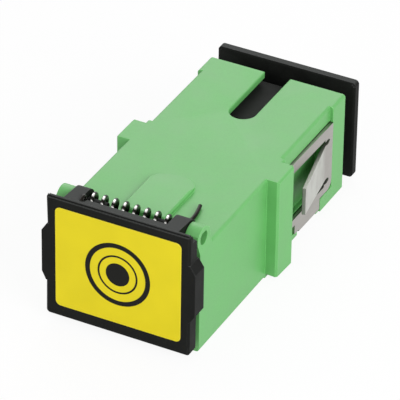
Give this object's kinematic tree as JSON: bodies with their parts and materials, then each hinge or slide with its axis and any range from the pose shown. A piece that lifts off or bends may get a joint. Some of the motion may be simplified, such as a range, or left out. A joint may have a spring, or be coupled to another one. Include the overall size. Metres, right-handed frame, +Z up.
{
  "type": "fibre optic adapter",
  "caption": "Square straight-through fibre optic adapter: flanged plastic housing, sprung shutter over the front port, folded steel panel clip, push-in dust cap at the rear.",
  "frame": {"origin": "centre of the alignment sleeve's bore, halfway along the optical axis", "axes": "+Y along the optical axis from the shutter to the dust cap, +Z up through the keyways, +X to the right seen from the shutter"},
  "size_m": [0.0148, 0.0307, 0.0121],
  "materials": {
    "housing_plastic": "satin moulded",
    "insert_plastic": "satin moulded",
    "sleeve_ceramic": "polished",
    "clip_steel": "rolled sheet",
    "black_plastic": "satin moulded",
    "pin_steel": "drawn",
    "spring_steel": "drawn wire",
    "label_film": "printed film"
  },
  "bodies": {
    "adapter": {"housing": "housing_plastic", "front_latch_insert": "insert_plastic", "rear_latch_insert": "insert_plastic", "alignment_sleeve": "sleeve_ceramic", "panel_clip": "clip_steel", "hinge_pin": "pin_steel", "torsion_spring": "spring_steel"},
    "shutter": {"shutter_door": "black_plastic", "door_label": "label_film"},
    "cap": {"dust_cap": "black_plastic"}
  },
  "joints": [
    {"name": "shutter_hinge", "type": "hinge", "parent": "adapter", "child": "shutter", "pos_m": [0, -0.01253, 0.00595], "axis": [-1, 0, 0], "range_deg": [0, 105], "stiffness_Nm_per_rad": 0.0027, "springref_deg": -57.3, "deforming": ["torsion_spring"]},
    {"name": "cap_pull", "type": "slide", "parent": "adapter", "child": "cap", "axis": [0, 1, 0], "range_m": [0, 0.008]}
  ]
}
